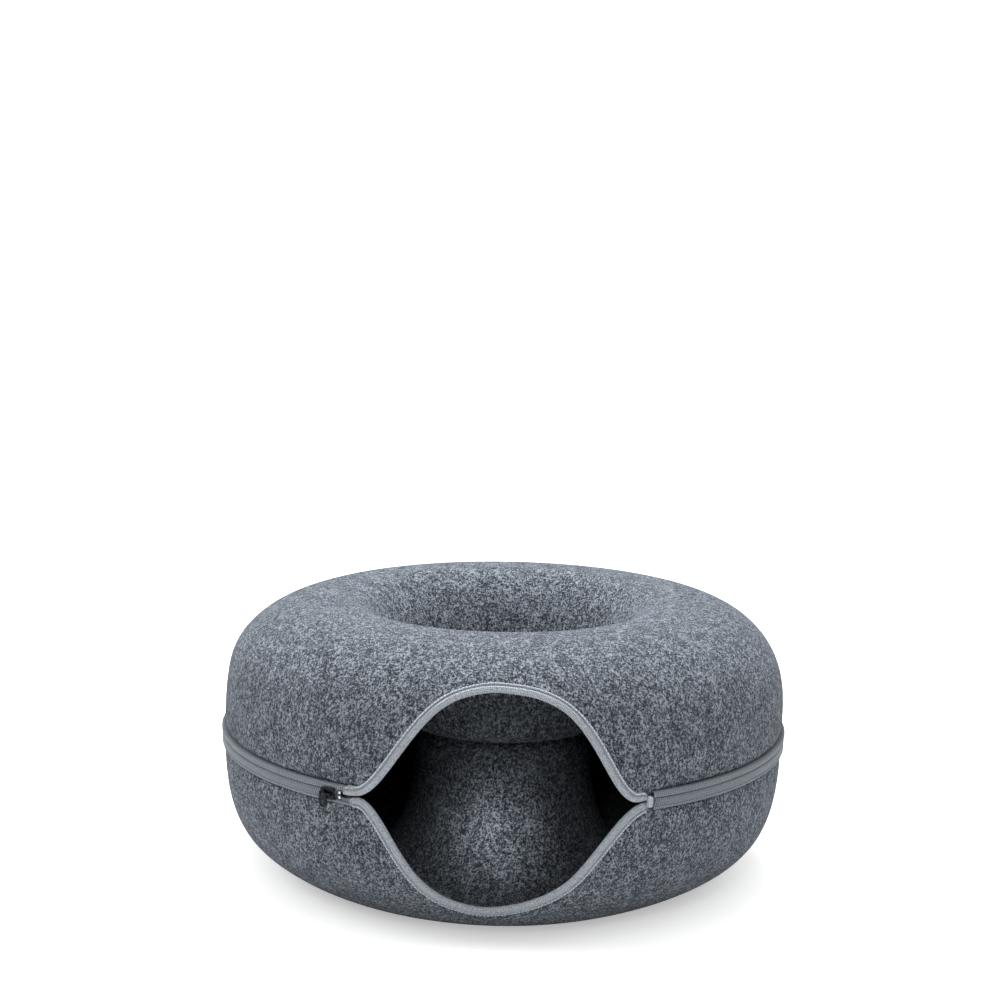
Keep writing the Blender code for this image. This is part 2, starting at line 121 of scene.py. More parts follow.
# %% The section of each half
throat = (DIMPLE_RADIUS, DIMPLE_FLOOR_HEIGHT + DIMPLE_CORNER)
floor_rim = (DIMPLE_RADIUS - DIMPLE_CORNER, DIMPLE_FLOOR_HEIGHT)
crown = (CROWN_RADIUS, BODY_HEIGHT)
hump_height = DIMPLE_FLOOR_HEIGHT - 2.0 * FELT_THICKNESS - GAP
base_outer = (BASE_OUTER_RADIUS, 0.0)
base_inner = (BASE_INNER_RADIUS, 0.0)
waist = (HUMP_RADIUS, hump_height - HUMP_CORNER)
hump_rim = (HUMP_RADIUS - HUMP_CORNER, hump_height)

LINES = {
    "upper": joined([
        quarter((BODY_RADIUS, SEAM_HEIGHT), crown, SHOULDER_POWER),
        quarter(throat, crown, DIMPLE_POWER)[::-1],
        quarter(throat, floor_rim, 2.0),
        np.linspace(floor_rim, (0.0, DIMPLE_FLOOR_HEIGHT), FLOOR_SAMPLES),
    ]),
    "lower": joined([
        quarter((BODY_RADIUS, SEAM_HEIGHT), base_outer, BOWL_POWER),
        np.linspace(base_outer, base_inner, BASE_SAMPLES),
        quarter(waist, base_inner, HUMP_POWER)[::-1],
        quarter(waist, hump_rim, 2.0),
        np.linspace(hump_rim, (0.0, hump_height), FLOOR_SAMPLES),
    ]),
}
for side, line in LINES.items():
    print(side, "half: %.3f m from the seam to the middle" % line["length"][-1])

# %% [markdown]
# ## Where a point of the cloth lies
#
# Every soft piece is laid out with three coordinates: the angle round the ring, the length along the
# face from the seam, and the lift out of the face. Hand-moulded felt is never quite round, so a short
# table of soft swells moves the face in and out by up to four millimetres.

# %% Swells of the moulded felt
PROBE = 0.0004
SWELLS = (
    {"angle": -88.0, "arc": 0.075, "turn": 34.0, "run": 0.026, "amount": 0.0024},
    {"angle": -118.0, "arc": 0.125, "turn": 30.0, "run": 0.030, "amount": -0.0008},
    {"angle": 86.0, "arc": 0.060, "turn": 34.0, "run": 0.040, "amount": 0.0032},
    {"angle": -72.0, "arc": -0.075, "turn": 34.0, "run": 0.040, "amount": 0.0022},
    {"angle": 74.0, "arc": -0.078, "turn": 24.0, "run": 0.036, "amount": 0.0022},
    {"angle": 36.0, "arc": -0.115, "turn": 22.0, "run": 0.030, "amount": -0.0036},
    {"angle": -40.0, "arc": -0.115, "turn": 28.0, "run": 0.030, "amount": -0.0028},
)


def swell(side, angle, length):
    """How far the felt stands out of its regular shape."""
    total = np.zeros(np.broadcast(angle, length).shape)
    for row in SWELLS:
        turn = (angle - row["angle"] + 180.0) % 360.0 - 180.0
        away = (turn / row["turn"]) ** 2 + ((SIDES[side] * length - row["arc"]) / row["run"]) ** 2
        total = total + row["amount"] * np.exp(-away)
    if side == "lower":
        total = np.where(length >= LINES["lower"]["ends"][0], 0.0, total)
    return total


def place(side, angle, length, lift):
    """Points in space for cloth coordinates: degrees, metres from the seam, metres out of the face."""
    angle, length, lift = np.broadcast_arrays(*(np.asarray(v, float) for v in (angle, length, lift)))
    line = LINES[side]
    before = np.clip(length - PROBE, 0.0, line["length"][-1])
    after = np.clip(length + PROBE, 0.0, line["length"][-1])

    def read(where, what):
        return np.interp(where, line["length"], line[what])

    run_out = read(after, "radius") - read(before, "radius")
    run_up = read(after, "height") - read(before, "height")
    rise = (lift + swell(side, angle, length)) * SIDES[side] / np.hypot(run_out, run_up)
    radius = read(length, "radius") + rise * run_up
    height = read(length, "height") - rise * run_out
    turn = np.radians(angle)
    return np.stack([radius * np.sin(turn), RING_CENTRE_Y - radius * np.cos(turn), height], axis=-1)


print("front of the seam:", place("upper", 0.0, 0.0, 0.0).round(4))

# %% [markdown]
# ## The opening's edge
#
# Each half is cut away in a bell curve. The bell is a raised cosine whose left and right skirts have
# their own width and fullness, because the sewn edge in the photo is a little uneven.

# %% The bell-shaped cut
EDGE_SETBACK = 0.00165
OPENING_EDGES = {
    "upper": {"reach": 0.0923, "centre": -1.8, "left": 28.2, "right": 25.8,
              "left_power": 1.42, "right_power": 1.87},
    "lower": {"reach": 0.0939, "centre": -2.9, "left": 27.6, "right": 27.8,
              "left_power": 1.49, "right_power": 1.42},
}
EDGE_SWAYS = {
    "upper": ({"angle": -8.5, "amount": -0.0007}, {"angle": -1.3, "amount": 0.0016},
              {"angle": 8.3, "amount": -0.0012}, {"angle": 15.3, "amount": 0.0010},
              {"angle": 21.5, "amount": -0.0018}),
    "lower": ({"angle": -17.5, "amount": 0.0020}, {"angle": -9.7, "amount": -0.0008},
              {"angle": -3.6, "amount": 0.0024}, {"angle": 5.8, "amount": -0.0017},
              {"angle": 13.8, "amount": 0.0022}),
}
SWAY_TURN = 3.4
SLOPE_STEP = 0.1


def edge_length(side, angle):
    """How far the felt's cut edge stands from the seam line, along the face."""
    edge = OPENING_EDGES[side]
    from_front = (np.asarray(angle, float) + 180.0) % 360.0 - 180.0
    sways = sum(row["amount"] * np.exp(-((from_front - row["angle"]) / SWAY_TURN) ** 2)
                for row in EDGE_SWAYS[side])
    turn = from_front - edge["centre"]
    left_width = edge["left"] + edge["centre"]
    right_width = edge["right"] - edge["centre"]
    share = np.minimum(np.abs(turn) / np.where(turn < 0.0, left_width, right_width), 1.0)
    power = np.where(turn < 0.0, edge["left_power"], edge["right_power"])
    return EDGE_SETBACK + edge["reach"] * (1.0 + np.cos(math.pi * share ** power)) / 2.0 + sways


def beside_edge(side, angle, inset, lift):
    """Points at a distance into the felt from its cut edge, measured square to the edge."""
    at_edge = edge_length(side, angle)
    radius = np.interp(at_edge, LINES[side]["length"], LINES[side]["radius"])
    rise = edge_length(side, angle + SLOPE_STEP) - edge_length(side, angle - SLOPE_STEP)
    slope = np.arctan2(rise, radius * math.radians(2.0 * SLOPE_STEP))
    turn = np.degrees(-np.sin(slope) * inset / radius)
    return place(side, angle + turn, at_edge + np.cos(slope) * inset, lift)


print("opening height along the felt: %.3f m" % (edge_length("upper", 0.0) + edge_length("lower", 0.0)))

# %% [markdown]
# ## Tools for sheets
#
# Every sheet starts the way it does in a workshop, as a flat piece: a grid primitive. Its columns are
# counted along the cloth and its rows across it. A function then lays each grid point on the form,
# doubled points are merged, and a Solidify modifier gives the cloth its thickness, inwards from the face
# that shows. A simulation could drape cloth too, but felt from a mould and sewn tape keep their form, so
# laying them out is surer. The pattern of a woven tape has to follow it, so a tape also keeps a UV map in
# metres.

# %% Lay a flat grid on a form
SHARP_ANGLE = 50.0
MERGE_DISTANCE = 0.00002
FULLNESS_LEVELS = 40.0


def in_edit_mode(action):
    """Do something with every point of the active mesh selected."""
    bpy.ops.object.mode_set(mode="EDIT")
    bpy.ops.mesh.select_all(action="SELECT")
    action()
    bpy.ops.object.mode_set(mode="OBJECT")


def smooth(piece):
    """Smooth shading, with an edge where the surface turns sharply."""
    bpy.ops.object.select_all(action="DESELECT")
    piece.select_set(True)
    bpy.context.view_layer.objects.active = piece
    bpy.ops.object.shade_smooth_by_angle(angle=math.radians(SHARP_ANGLE))


def laid_sheet(name, columns, rows, lay, thickness, outward, measured=None, fullness=None, thinnest=1.0):
    """A grid of cloth laid on a form by lay(along, across), both from 0 to 1.

    outward(point) is a direction out of the face, and measured(along, across) gives a UV map in metres.
    fullness(along, across) says where the cloth has its full thickness (1) or its thinnest (0).
    """
    bpy.ops.mesh.primitive_grid_add(x_subdivisions=columns, y_subdivisions=rows, size=2.0)
    piece = bpy.context.object
    piece.name = piece.data.name = name
    mesh = piece.data
    flat = np.empty(len(mesh.vertices) * 3)
    mesh.vertices.foreach_get("co", flat)
    flat = (flat.reshape(-1, 3) + 1.0) / 2.0
    if measured is not None:
        corner = np.empty(len(mesh.loops), int)
        mesh.loops.foreach_get("vertex_index", corner)
        mesh.uv_layers[0].data.foreach_set("uv", measured(flat[corner, 0], flat[corner, 1]).ravel())
    mesh.vertices.foreach_set("co", lay(flat[:, 0], flat[:, 1]).ravel())
    mesh.update()
    if fullness is not None:
        full = piece.vertex_groups.new(name="full_thickness")
        level = np.round(fullness(flat[:, 0], flat[:, 1]) * FULLNESS_LEVELS) / FULLNESS_LEVELS
        for value in np.unique(level):
            full.add(np.nonzero(level == value)[0].tolist(), float(value), "REPLACE")
    in_edit_mode(lambda: bpy.ops.mesh.remove_doubles(threshold=MERGE_DISTANCE))
    sample = mesh.polygons[len(mesh.polygons) // 3]
    if sample.normal.dot(outward(sample.center)) < 0.0:
        in_edit_mode(bpy.ops.mesh.flip_normals)
    wall = piece.modifiers.new("cloth thickness", "SOLIDIFY")
    wall.thickness = thickness
    wall.offset = -1.0
    if fullness is not None:
        wall.vertex_group = full.name
        wall.thickness_vertex_group = thinnest
    bpy.ops.object.modifier_apply(modifier=wall.name)
    smooth(piece)
    print(name, "has", len(mesh.polygons), "faces")
    return piece


# %% [markdown]
# ## A felt half
#
# Felt has no weave and no grain: heat and a mould press it to shape in one piece. It could be spun from
# its section, but a spun shape would have neither the bell-shaped cut nor the swells. So a half is one
# grid whose first row follows the cut edge and whose last row closes in the middle of dimple or hump.
# More columns go to the front, where the cut edge swings up and down. More rows go beside the cut edge,
# where the stitching squeezes the felt thin, the edge tape presses it in, and the zip pulls a narrow
# groove into it all round the back.

# %% Spread the grid over a half
FELT_GRID = {"columns": 360, "rows": 120}
FRONT_SPAN = 33.0
FRONT_COLUMNS = 0.45
EDGE_ROWS = {"across": (0.0, 0.045, 0.135, 0.190), "beyond": (0.0, 0.0052, 0.0105, 0.0170)}
WALL_ROWS = 0.62
SEAM_PULLS = ({"length": 0.0072, "run": 0.0062, "depth": 0.0011},
              {"length": 0.0072, "run": 0.0014, "depth": 0.0019})
PULLED = {"none": 26.0, "full": 32.0}
SQUEEZED_SHARE = 0.55
SQUEEZED_RUN = 0.016
PRESSED = {"depth": 0.0010, "full": 0.0056, "none": 0.0074}


def column_angle(along):
    """The angle of a grid column. The grid's own two ends meet at the back."""
    half = FRONT_COLUMNS / 2.0
    return np.interp(along, [0.0, 0.5 - half, 0.5 + half, 1.0],
                     [-180.0, -FRONT_SPAN, FRONT_SPAN, 180.0])


def row_length(side, angle, across):
    """The length from the seam at which a grid row crosses an angle."""
    line = LINES[side]
    edge = edge_length(side, angle)
    near, reach = EDGE_ROWS["across"][-1], EDGE_ROWS["beyond"][-1]
    start = np.interp(edge + reach, line["length"], line["measure"])
    wall_end = np.interp(line["ends"][0], line["length"], line["measure"])
    share = (across - near) / (WALL_ROWS - near)
    core = (across - WALL_ROWS) / (1.0 - WALL_ROWS)
    measure = np.where(share < 1.0, start + (wall_end - start) * share,
                       wall_end + (line["measure"][-1] - wall_end) * core)
    beside = edge + np.interp(across, EDGE_ROWS["across"], EDGE_ROWS["beyond"])
    return np.where(across < near, beside, np.interp(measure, line["measure"], line["length"]))


def felt_half(side):
    """One moulded half of the cave, fine enough for soft light."""

    def lay(along, across):
        angle = column_angle(along)
        length = row_length(side, angle, across)
        round_back = np.interp(np.abs(angle), [PULLED["none"], PULLED["full"]], [0.0, 1.0])
        drawn_in = 0.0
        for pull in SEAM_PULLS:
            beyond = np.maximum(length - pull["length"], 0.0) / pull["run"]
            drawn_in = drawn_in + pull["depth"] * np.exp(-beyond ** 2)
        from_edge = length - edge_length(side, angle)
        pressed = PRESSED["depth"] * np.interp(from_edge, [PRESSED["full"], PRESSED["none"]], [1.0, 0.0])
        return place(side, angle, length, -np.maximum(round_back * drawn_in, pressed))

    def fullness(along, across):
        angle = column_angle(along)
        from_edge = row_length(side, angle, across) - edge_length(side, angle)
        share = np.clip(from_edge / SQUEEZED_RUN, 0.0, 1.0)
        return share * share * (3.0 - 2.0 * share)

    def outward(centre):
        return Vector((centre.x, centre.y - RING_CENTRE_Y, centre.z - SEAM_HEIGHT))

    return laid_sheet(side + "_felt", FELT_GRID["columns"], FELT_GRID["rows"], lay, FELT_THICKNESS,
                      outward, fullness=fullness, thinnest=SQUEEZED_SHARE)


upper_felt = felt_half("upper")
lower_felt = felt_half("lower")

# %% [markdown]
# ## The edge tape
#
# The cut edges of the opening are bound: a woven tape is folded over the felt and sewn through. Seen
# square on, it has a thin raised hem on the felt side, a groove where the needle went, and a soft,
# slightly domed face that rolls over the edge. A bevelled curve could follow the edge, but would twist
# where it bends. So the tape is a grid too, laid on a section of those steps: its rows go from the
# outer hem round the fold to the hem inside the tunnel.

# %% The tape's section
TAPE_GRID = {"columns": 340, "rows": 44}
TAPE_CLOTH = 0.0007
TAPE_FACE = 0.0011
TAPE_FOLD = 0.0011
TAPE_FOLD_STEPS = 7
TAPE_BEHIND = 0.0014
TAPE_BACK = -FELT_THICKNESS * SQUEEZED_SHARE - TAPE_BEHIND
TAPE_ENDS = {"upper": (-30.1, 27.6), "lower": (-28.7, 27.6)}
TAPE_HEM = (
    {"inset": 0.0070, "lift": -0.0006}, {"inset": 0.0070, "lift": 0.0006},
    {"inset": 0.0067, "lift": 0.0013}, {"inset": 0.0060, "lift": 0.0016},
    {"inset": 0.0052, "lift": 0.0014}, {"inset": 0.0048, "lift": 0.0006},
    {"inset": 0.0045, "lift": 0.0001}, {"inset": 0.0042, "lift": 0.0006},
    {"inset": 0.0037, "lift": 0.0013}, {"inset": 0.0024, "lift": 0.0017},
)
TAPE_INNER_HEM = ({"inset": 0.00372, "lift": 0.0}, {"inset": 0.0062, "lift": 0.0001})


def tape_section(across):
    """Inset from the cut edge, lift from the felt, and the width of the tape when it is flat.

    It is read across the tape, from the outer hem (0) round the fold to the inner hem (1).
    """
    rounded = np.linspace(0.0, math.pi / 2.0, TAPE_FOLD_STEPS)
    middle = (TAPE_FACE + TAPE_BACK) / 2.0
    deep = (TAPE_FACE - TAPE_BACK) / 2.0
    points = [(step["inset"], step["lift"]) for step in TAPE_HEM]
    points += [(TAPE_FOLD - 2.0 * TAPE_FOLD * math.sin(turn), middle + deep * math.cos(turn))
               for turn in rounded]
    points += [(TAPE_FOLD - 2.0 * TAPE_FOLD * math.cos(turn), middle - deep * math.sin(turn))
               for turn in rounded[1:]]
    points += [(step["inset"], TAPE_BACK + step["lift"]) for step in TAPE_INNER_HEM]
    points = np.array(points)
    reach = distances(points)
    share = reach / reach[-1]
    return np.interp(across, share, points[:, 0]), np.interp(across, share, points[:, 1]), reach[-1]


print("edge tape, laid flat: %.4f m wide" % tape_section(0.0)[2])

# %% Lay the tape along both cut edges
EDGE_SAMPLES = 600
END_ROUNDING = 0.0045
END_SHARE = 0.45
OVER_ZIP = {"none": -27.2, "full": -28.8, "lift": 0.0026}
RIPPLE = {"height": 0.00010, "run": 0.0061, "turns": 21.0}


def opening_angles(side):
    """Angles along the cut edge, and how far along the edge each of them is."""
    angles = np.linspace(*TAPE_ENDS[side], EDGE_SAMPLES)
    steps = np.hypot(BODY_RADIUS * np.radians(np.diff(angles)), np.diff(edge_length(side, angles)))
    travelled = np.concatenate([[0.0], np.cumsum(steps)])
    return angles, travelled


def edge_tape(side):
    """Binding tape round one cut edge, which narrows at its ends and passes over the open zip."""
    angles, travelled = opening_angles(side)
    tape_width = tape_section(0.0)[2]

    def lay(along, across):
        angle = np.interp(along * travelled[-1], travelled, angles)
        inset, lift = tape_section(across)[:2]
        ripple = (RIPPLE["height"] * np.sin(along * travelled[-1] / RIPPLE["run"])
                  * np.sin(across * RIPPLE["turns"]))
        from_end = np.minimum(along, 1.0 - along) * travelled[-1] / END_ROUNDING
        narrowed = END_SHARE + (1.0 - END_SHARE) * np.sqrt(1.0 - np.clip(1.0 - from_end, 0.0, 1.0) ** 2)
        over_zip = OVER_ZIP["lift"] * np.interp(angle, [OVER_ZIP["full"], OVER_ZIP["none"]], [1.0, 0.0])
        return beside_edge(side, angle, inset * narrowed, lift + ripple + over_zip * (lift > 0.0))

    def measured(along, across):
        return np.stack([along * travelled[-1], across * tape_width], axis=-1)

    def outward(centre):
        return Vector((0.0, -1.0, 0.0))

    tape = laid_sheet("edge_tape_" + side, TAPE_GRID["columns"], TAPE_GRID["rows"], lay, TAPE_CLOTH,
                      outward, measured)
    return tape, travelled[-1], tape_width


# %% [markdown]
# ## The zip's tapes
#
# The zip is sewn on outside, over the seam, and stands a couple of millimetres proud of the felt. The
# upper tape shows as a narrow, soft strip with a rolled hem, and a dark groove runs between it and the
# teeth. The lower tape lies flush with the teeth. The two tapes meet on the seam, so no light comes
# through. Beside the slider, where the zip is open, they part and leave a dark slit. Each section is a
# short table of a length from the seam and a lift out of the felt.

# %% Zip tape sections
ZIP_GRID = {"columns": 520, "rows": 22}
ZIP_CLOTH = 0.0005
ZIP_RIGHT = 28.75
ZIP_LEFT = 360.0 - 28.75
ZIP_STRIPS = {
    "upper": ((0.0000, 0.0007), (0.0019, 0.0008), (0.0024, 0.0012), (0.0027, 0.0021), (0.0035, 0.0027),
              (0.0057, 0.0029), (0.0068, 0.0028), (0.0073, 0.0022), (0.0074, 0.0010), (0.0071, -0.0030)),
    "lower": ((0.0000, 0.0007), (0.0036, 0.0006), (0.0040, 0.0010), (0.0043, 0.0020), (0.0048, 0.0024),
              (0.0063, 0.0024), (0.0070, 0.0019), (0.0072, 0.0010), (0.0069, -0.0028)),
}
ZIP_LENGTH = BODY_RADIUS * math.radians(ZIP_LEFT - ZIP_RIGHT)
OPEN_END = {"from": 360.0 - 31.7, "to": 360.0 - 30.7, "spread": 0.0026}


def zip_tape(side):
    """One of the zip's tapes, round the back from corner to corner of the opening."""
    section = np.array(ZIP_STRIPS[side])
    reach = distances(section)
    width = reach[-1]
    share = reach / width

    def lay(along, across):
        angle = ZIP_RIGHT + (ZIP_LEFT - ZIP_RIGHT) * along
        length = np.interp(across, share, section[:, 0])
        lift = np.interp(across, share, section[:, 1])
        parted = OPEN_END["spread"] * np.interp(angle, [OPEN_END["from"], OPEN_END["to"]], [0.0, 1.0])
        return place(side, angle, length + parted * (1.0 - across) ** 2, lift)

    def measured(along, across):
        return np.stack([along * ZIP_LENGTH, across * width], axis=-1)

    def outward(centre):
        return Vector((centre.x, centre.y - RING_CENTRE_Y, 0.0))

    tape = laid_sheet("zip_tape_" + side + "_cloth", ZIP_GRID["columns"], ZIP_GRID["rows"], lay, ZIP_CLOTH,
                      outward, measured)
    return tape, width


upper_edge_tape, upper_edge_run, edge_tape_width = edge_tape("upper")
lower_edge_tape, lower_edge_run, edge_tape_width = edge_tape("lower")
upper_zip_tape, upper_zip_width = zip_tape("upper")
lower_zip_tape, lower_zip_width = zip_tape("lower")
print("edge tapes: %.3f and %.3f m long, %.4f m wide" % (upper_edge_run, lower_edge_run, edge_tape_width))
print("zip tapes: %.3f m long, %.4f and %.4f m wide" % (ZIP_LENGTH, upper_zip_width, lower_zip_width))

# %% [markdown]
# ## Copies along a line
#
# Teeth and stitches repeat hundreds of times. One is modelled from a primitive and then copied along
# its line. An Array modifier on a curve could do that, but wouldn't keep them square to the cloth. So
# each copy gets its own points, turned to run along the cloth and to stand out of its face, and all of
# them together are one piece.

# %% Repeat a small model along the cloth
STEP_OUT = 0.0005


def frames_on(point, along, step):
    """Places along a line on the cloth: where, which way it runs, and which way is out of the face."""
    here = point(along, 0.0)
    run = point(along + step, 0.0) - point(along - step, 0.0)
    out = point(along, STEP_OUT) - here
    run /= np.linalg.norm(run, axis=1, keepdims=True)
    out -= run * np.sum(out * run, axis=1, keepdims=True)
    out /= np.linalg.norm(out, axis=1, keepdims=True)
    return here, run, out


def repeated(name, model, frames, turned=None):
    """Copies of a small model at every frame: its X runs along, its Z stands out of the face."""
    here, run, out = frames
    side = np.cross(out, run)
    points = np.empty(len(model.data.vertices) * 3)
    model.data.vertices.foreach_get("co", points)
    points = points.reshape(-1, 3)
    shapes = np.repeat(points[None], len(here), axis=0)
    if turned is not None:
        shapes = turned(shapes)
    placed = (here[:, None] + shapes[..., 0:1] * run[:, None] + shapes[..., 1:2] * side[:, None]
              + shapes[..., 2:3] * out[:, None])
    loops = [list(face.vertices) for face in model.data.polygons]
    faces = [[index + copy * len(points) for index in loop]
             for copy in range(len(here)) for loop in loops]
    mesh = bpy.data.meshes.new(name)
    mesh.from_pydata(placed.reshape(-1, 3).tolist(), [], faces)
    mesh.update()
    piece = bpy.data.objects.new(name, mesh)
    bpy.context.scene.collection.objects.link(piece)
    mesh.shade_smooth()
    bpy.data.objects.remove(model, do_unlink=True)
    print(name, "is", len(here), "copies")
    return piece


# %% [markdown]
# ## Stitches of the edge tape
#
# A row of machine stitches holds the hem of the tape down, beside the groove. One stitch is a short
# piece of thread: a small round bar that dips into the cloth at both ends, where the needle went in.

# %% One stitch, and a row of them
STITCH_INSET = 0.0061
STITCH_LIFT = 0.0017
STITCH_LENGTH = 0.0021
STITCH_PITCH = 0.0030
STITCH_END_GAP = 0.004
STITCH_STEP = 0.0005
STITCH_BENDS = 0.2
STITCH_DIP = 0.9
THREAD = 0.00080


def one_stitch():
    """A short thread that bows out of the cloth."""
    bpy.ops.mesh.primitive_cylinder_add(vertices=6, radius=THREAD / 2.0, depth=STITCH_LENGTH,
                                        rotation=(0.0, math.radians(90.0), 0.0))
    stitch = bpy.context.object
    bpy.ops.object.transform_apply(location=False, rotation=True, scale=True)
    bpy.ops.object.mode_set(mode="EDIT")
    for bend in (STITCH_LENGTH * STITCH_BENDS, -STITCH_LENGTH * STITCH_BENDS):
        bpy.ops.mesh.select_all(action="SELECT")
        bpy.ops.mesh.bisect(plane_co=(bend, 0.0, 0.0), plane_no=(1.0, 0.0, 0.0))
    bpy.ops.object.mode_set(mode="OBJECT")
    for vert in stitch.data.vertices:
        share = abs(vert.co.x) / (STITCH_LENGTH / 2.0)
        vert.co.z -= THREAD * STITCH_DIP * share ** 2
    return stitch


def edge_stitches(side):
    """Stitches along the hem of one edge tape."""
    angles, travelled = opening_angles(side)
    end = travelled[-1]

    def point(along, extra):
        angle = np.interp(along, travelled, angles)
        return beside_edge(side, angle, STITCH_INSET, STITCH_LIFT + extra)

    along = np.linspace(STITCH_END_GAP, end - STITCH_END_GAP, int(end / STITCH_PITCH))
    return repeated("edge_stitches_" + side, one_stitch(), frames_on(point, along, STITCH_STEP))


upper_edge_stitches = edge_stitches("upper")
lower_edge_stitches = edge_stitches("lower")

# %% [markdown]
# ## The coil
#
# The zip's teeth are one nylon wire wound to and fro and sewn to each tape. From outside, each turn is
# a short bar with a head, and the heads of the two tapes pass each other in the middle. One turn is
# modelled from a box that narrows towards its head and is lower at its tail. Its edges are rounded with
# a bevel, and it is copied round the back.

# %% One turn of the coil, and two rows of them
COIL_PITCH = 0.00190
COIL_MIDDLE = -0.0011
COIL_LIFT = 0.0011
COIL_OVERLAP = 0.0005
COIL_STEP = 0.2
TURN = {"width": 0.00140, "length": 0.0038, "height": 0.0013}
TURN_SHARES = {"neck": 0.22, "head": 0.4, "head_width": 0.62, "tail_height": 0.80}
TURN_BEVEL = {"width": 0.00030, "segments": 2, "sharp": 60.0}
CHAIN_RIGHT = 28.95
CHAIN_LEFT = 360.0 - 32.2
CHAIN_END_GAPS = {"right": 0.2, "left": 0.4}


def on_seam(angle, arc, lift):
    """Points beside the seam, by a signed length that is positive above it."""
    above = place("upper", angle, np.maximum(arc, 0.0), lift)
    below = place("lower", angle, np.maximum(-arc, 0.0), lift)
    return np.where(np.broadcast_to(np.asarray(arc)[..., None] >= 0.0, above.shape), above, below)


def one_turn():
    """A turn of the coil: a bar across the chain with its head at +Y."""
    bpy.ops.mesh.primitive_cube_add(size=1.0)
    turn = bpy.context.object
    turn.scale = (TURN["width"], TURN["length"], TURN["height"])
    bpy.ops.object.transform_apply(location=False, rotation=False, scale=True)
    bpy.ops.object.mode_set(mode="EDIT")
    bpy.ops.mesh.select_all(action="SELECT")
    bpy.ops.mesh.bisect(plane_co=(0.0, TURN["length"] * TURN_SHARES["neck"], 0.0), plane_no=(0.0, 1.0, 0.0))
    bpy.ops.object.mode_set(mode="OBJECT")
    for vert in turn.data.vertices:
        if vert.co.y < 0.0:
            vert.co.z *= TURN_SHARES["tail_height"]
        elif vert.co.y > TURN["length"] * TURN_SHARES["head"]:
            vert.co.x *= TURN_SHARES["head_width"]
    round_off = turn.modifiers.new("rounded", "BEVEL")
    round_off.width = TURN_BEVEL["width"]
    round_off.segments = TURN_BEVEL["segments"]
    round_off.limit_method = "ANGLE"
    round_off.angle_limit = math.radians(TURN_BEVEL["sharp"])
    bpy.ops.object.modifier_apply(modifier=round_off.name)
    return turn


def coil_row(side):
    """One tape's turns. The two rows are half a pitch apart."""
    sign = SIDES[side]
    arc = COIL_MIDDLE + sign * (TURN["length"] / 2.0 - COIL_OVERLAP)
    shift = math.degrees(COIL_PITCH / 2.0 / BODY_RADIUS) if side == "upper" else 0.0

    def point(angle, extra):
        return on_seam(angle, np.full(np.shape(angle), arc), COIL_LIFT + TURN["height"] / 2.0 + extra)

    def turned(shapes):
        shapes = shapes.copy()
        shapes[..., 1] *= -sign
        return shapes

    count = int(BODY_RADIUS * math.radians(CHAIN_LEFT - CHAIN_RIGHT) / COIL_PITCH)
    angles = np.linspace(CHAIN_RIGHT + CHAIN_END_GAPS["right"] + shift,
                         CHAIN_LEFT - CHAIN_END_GAPS["left"] + shift, count)
    row = repeated("coil_" + side, one_turn(), frames_on(point, angles, COIL_STEP), turned)
    if sign > 0.0:
        row.data.flip_normals()
    return row


upper_coil = coil_row("upper")
lower_coil = coil_row("lower")

# %% [markdown]
# ## Finishes
#
# Felt is thousands of crossed fibres, some light, some nearly black, pressed flat. Real hairs would be
# far too many points, so its colour and its fine relief are drawn by noises that are stretched different
# ways, and short light and dark hairs cross. Each layer is mixed over the ones before it by its share.
# The mould draws the felt up the walls, so all of them run a little more up and down than round. Woven
# tape is drawn along its own UV map, which is in metres, so a rib is as wide as a real one.

# %% Helpers for materials


def new_finish(name):
    """A material with its shader, a short way to add nodes, and one to join them."""
    material = bpy.data.materials.new(name)
    material.use_nodes = True
    tree = material.node_tree
    shader = tree.nodes["Principled BSDF"]

    def node(kind, **settings):
        made = tree.nodes.new(kind)
        for key, value in settings.items():
            if key in made.inputs:
                made.inputs[key].default_value = value
            else:
                setattr(made, key, value)
        return made

    def join(source, target):
        tree.links.new(source, target)

    return material, shader, node, join


def ramp(node, join, source, stops):
    """Colours or greys along a value."""
    made = node("ShaderNodeValToRGB")
    while len(made.color_ramp.elements) < len(stops):
        made.color_ramp.elements.new(0.5)
    for element, (position, colour) in zip(made.color_ramp.elements, stops):
        element.position = position
        element.color = (*colour, 1.0) if hasattr(colour, "__len__") else (colour, colour, colour, 1.0)
    join(source, made.inputs[0])
    return made.outputs[0]


def stretched_noise(node, join, source, scale, turn, **settings):
    """Noise that is longer one way than the other, as hairs are."""
    mapping = node("ShaderNodeMapping")
    mapping.inputs["Scale"].default_value = scale
    mapping.inputs["Rotation"].default_value = turn
    join(source, mapping.inputs["Vector"])
    noise = node("ShaderNodeTexNoise", Scale=1.0, **settings)
    join(mapping.outputs[0], noise.inputs["Vector"])
    return noise.outputs["Fac"]


def blend_of(node, join, kind, share, one, two):
    """Two values put together, by mixing, adding or subtracting."""
    mix = node("ShaderNodeMix", data_type="RGBA", blend_type=kind)
    mix.inputs[0].default_value = share
    join(one, mix.inputs[6])
    join(two, mix.inputs[7])
    return mix.outputs[2]


